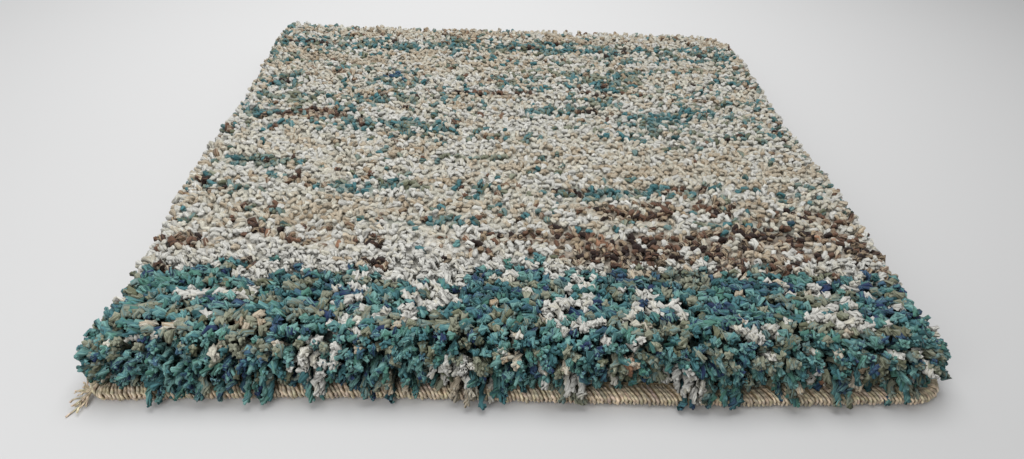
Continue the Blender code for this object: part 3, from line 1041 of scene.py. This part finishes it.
class RUG_OT_binding(Operator):
    """Overlock the edge, stitch beside stitch, and leave its two loose ends"""

    bl_idname = "rug.binding"
    bl_label = "Bind the edge"

    def execute(self, context):
        chance, finish = np.random.default_rng(SEED + 4), binding_finish()
        self.stitch(chance, finish)
        self.loosen(chance, finish)
        return {"FINISHED"}

    def stitch(self, chance, finish):
        """The stitches: each follows the section round the edge."""
        count, rings = round(RIM_LENGTH / sizes().stitch_pitch), len(STITCH_SECTION)
        out, height, along = (column(STITCH_SECTION, key) * MM for key in ("out", "height", "along"))
        station = (np.arange(count) + chance.uniform(-0.14, 0.14, count)) * RIM_LENGTH / count
        lean = along * (1 + chance.normal(0, 0.2, (count, 1))) + chance.normal(0, 0.12, (count, rings)) * MM
        loose = chance.normal(0, 0.2, (count, 1)) + chance.normal(0, 0.12, (count, rings))
        loose = loose * MM * (height > 0.8 * MM)
        place, way = rim(station[:, None] + lean)
        flat = place + way * (out + loose)[..., None]
        middle = np.concatenate([flat, np.broadcast_to(height[:, None], (count, rings, 1))], axis=-1)
        side = np.stack([-way[..., 1], way[..., 0], np.zeros((count, rings))], axis=-1)
        radius = sizes().stitch_radius * chance.uniform(0.85, 1.1, (count, 1))
        radius = np.minimum(radius * chance.uniform(0.86, 1.1, (count, rings)), height - 0.01 * MM)
        self.lay("edge_stitches", middle, side, radius, chance, finish)

    def loosen(self, chance, finish):
        """The loose ends: fine strands that part and curl on their way from the corner."""
        strands, rings = 9, 8
        t = np.linspace(0, 1, rings)[:, None]
        start = rim(np.array([CORNER_RADII[-1, -1] * math.pi / 4]), -0.4 * MM)[0][0]
        start = np.array([*start, 2.4 * MM])
        lines = []
        for move in LOOSE_ENDS:
            spread = chance.normal(0, 1.5, (strands, 1, 3)) * MM * t**1.4
            curl = chance.uniform(0.2, 0.5, (strands, 1, 3)) * MM
            curl = curl * np.sin(9 * t + chance.uniform(0, math.tau, (strands, 1, 3)))
            reach = np.array(move) * MM * t * chance.uniform(0.7, 1.15, (strands, 1, 1))
            lines.append(start + reach + spread + curl * t)
        middle = np.concatenate(lines)
        middle[..., 2] = np.maximum(middle[..., 2], 0.5 * MM)
        radius = 0.34 * MM * chance.uniform(0.8, 1.2, middle.shape[:2])
        side = np.broadcast_to([0.6, 0.5, 0.62], middle.shape)
        self.lay("edge_loose_ends", middle, side, radius, chance, finish)

    def lay(self, name, middle, side, radius, chance, finish):
        """Adds strands of tan yarn, each a little paler or darker than the last."""
        count, rings = radius.shape
        shade = np.exp(chance.normal(0, 0.16, (count, 1, 1)) + chance.normal(0, 0.04, (count, rings, 3)))
        dyes, turn = {"dye": linear(DYES["tan"]) * shade}, np.zeros(radius.shape)
        add_tubes(name, middle, side, radius, turn, 4, dyes, finish, "edge_binding")


def floor_finish():
    """The paper under the rug, with a painted pool of light, palest behind it: 0.6 + 0.4 * 0.1 ** (distance
    squared).
    """
    look = Finish("pale_paper", {"Roughness": 0.9, "Specular IOR Level": 0.2})
    place = look.node("TexCoord").outputs["Object"]
    far = look.number("VectorMath", {"operation": "DISTANCE"}, {0: place, 1: (-0.056, 0.46, 0)}, "Value")
    # Painted light: the paper's grey is brightest round a point behind the rug and falls off away from it.
    painted_light_pool = look.number("Math", {"operation": "POWER"}, {0: 0.1, 1: far * far})
    mottle = look.number("TexNoise", inputs={"Vector": place, "Scale": 3.0, "Detail": 1.0})
    paper = look.node("CombineXYZ", inputs={0: 0.72, 1: 0.72, 2: 0.72}).outputs[0]
    look.coloured(look.scaled(paper, (painted_light_pool * 0.4 + 0.6) * (mottle * 0.02 + 0.99)))
    return look.material


class RUG_OT_stage(Operator):
    """Set the floor, the lamps and the camera"""

    bl_idname = "rug.stage"
    bl_label = "Set the stage"

    def execute(self, context):
        scene, studio = context.scene, context.scene.rug_studio
        scene.view_settings.view_transform = "Standard"
        reach = 4.0
        corners = np.array([[-reach, -reach, 0], [reach, -reach, 0], [reach, reach, 0], [-reach, reach, 0]])
        data = bpy.data.meshes.new("floor")
        data.from_pydata(corners.tolist(), [], [(0, 1, 2, 3)])
        data.materials.append(floor_finish())
        floor = bpy.data.objects.new("floor", data)
        scene.collection.objects.link(floor)

        world = bpy.data.worlds.new("studio")
        world.use_nodes = True
        background = world.node_tree.nodes["Background"]
        background.inputs["Color"].default_value = (0.99, 0.995, 1.0, 1)
        background.inputs["Strength"].default_value = studio.sky
        scene.world = world

        add_softbox("softbox", (-0.04, 0.10, 0.75), (-0.04, 0.10, 0), 0.60, studio.softbox)
        add_softbox("fill", (-0.24, -0.42, 0.26), (-0.10, -0.14, 0), 0.30, studio.fill)

        camera = bpy.data.cameras.new("camera")
        camera.lens, camera.sensor_width = studio.lens, 36
        camera.clip_start = 0.01
        stand = bpy.data.objects.new("camera", camera)
        turned = (
            Matrix.Rotation(studio.yaw, 4, "Z")
            @ Matrix.Rotation(math.pi / 2 - studio.pitch, 4, "X")
            @ Matrix.Rotation(studio.roll, 4, "Z")
        )
        stand.matrix_world = Matrix.Translation(studio.camera_place) @ turned
        scene.collection.objects.link(stand)
        scene.camera = stand
        return {"FINISHED"}


def add_softbox(name, place, target, width, power):
    """A square lamp that looks at a target."""
    lamp = bpy.data.lights.new(name, "AREA")
    lamp.size, lamp.energy = width, power
    stand = bpy.data.objects.new(name, lamp)
    stand.location = place
    stand.rotation_euler = (Vector(target) - Vector(place)).to_track_quat("-Z", "Y").to_euler()
    bpy.context.scene.collection.objects.link(stand)


class RUG_PT_panel(Panel):
    """The rug's pieces and sizes"""

    bl_idname = "RUG_PT_panel"
    bl_label = "Shag rug"
    bl_space_type = "VIEW_3D"
    bl_region_type = "UI"
    bl_category = "Rug"

    def draw(self, context):
        layout = self.layout.column()
        for name in RugSizes.__annotations__:
            layout.prop(context.scene.rug_sizes, name)
        for name in StudioSettings.__annotations__:
            layout.prop(context.scene.rug_studio, name)
        for step in STEPS:
            layout.operator(step.bl_idname)


STEPS = (RUG_OT_ground, RUG_OT_pile, RUG_OT_rim_pile, RUG_OT_binding, RUG_OT_stage)
CLASSES = (RugSizes, StudioSettings, *STEPS, RUG_PT_panel)


def register():
    for known in CLASSES:
        bpy.utils.register_class(known)
    bpy.types.Scene.rug_sizes = PointerProperty(type=RugSizes)
    bpy.types.Scene.rug_studio = PointerProperty(type=StudioSettings)


def unregister():
    del bpy.types.Scene.rug_sizes
    del bpy.types.Scene.rug_studio
    for known in reversed(CLASSES):
        bpy.utils.unregister_class(known)


def main():
    register()
    bpy.ops.rug.ground()
    bpy.ops.rug.pile()
    bpy.ops.rug.rim_pile()
    bpy.ops.rug.binding()
    bpy.ops.rug.stage()


if __name__ == "__main__":
    main()
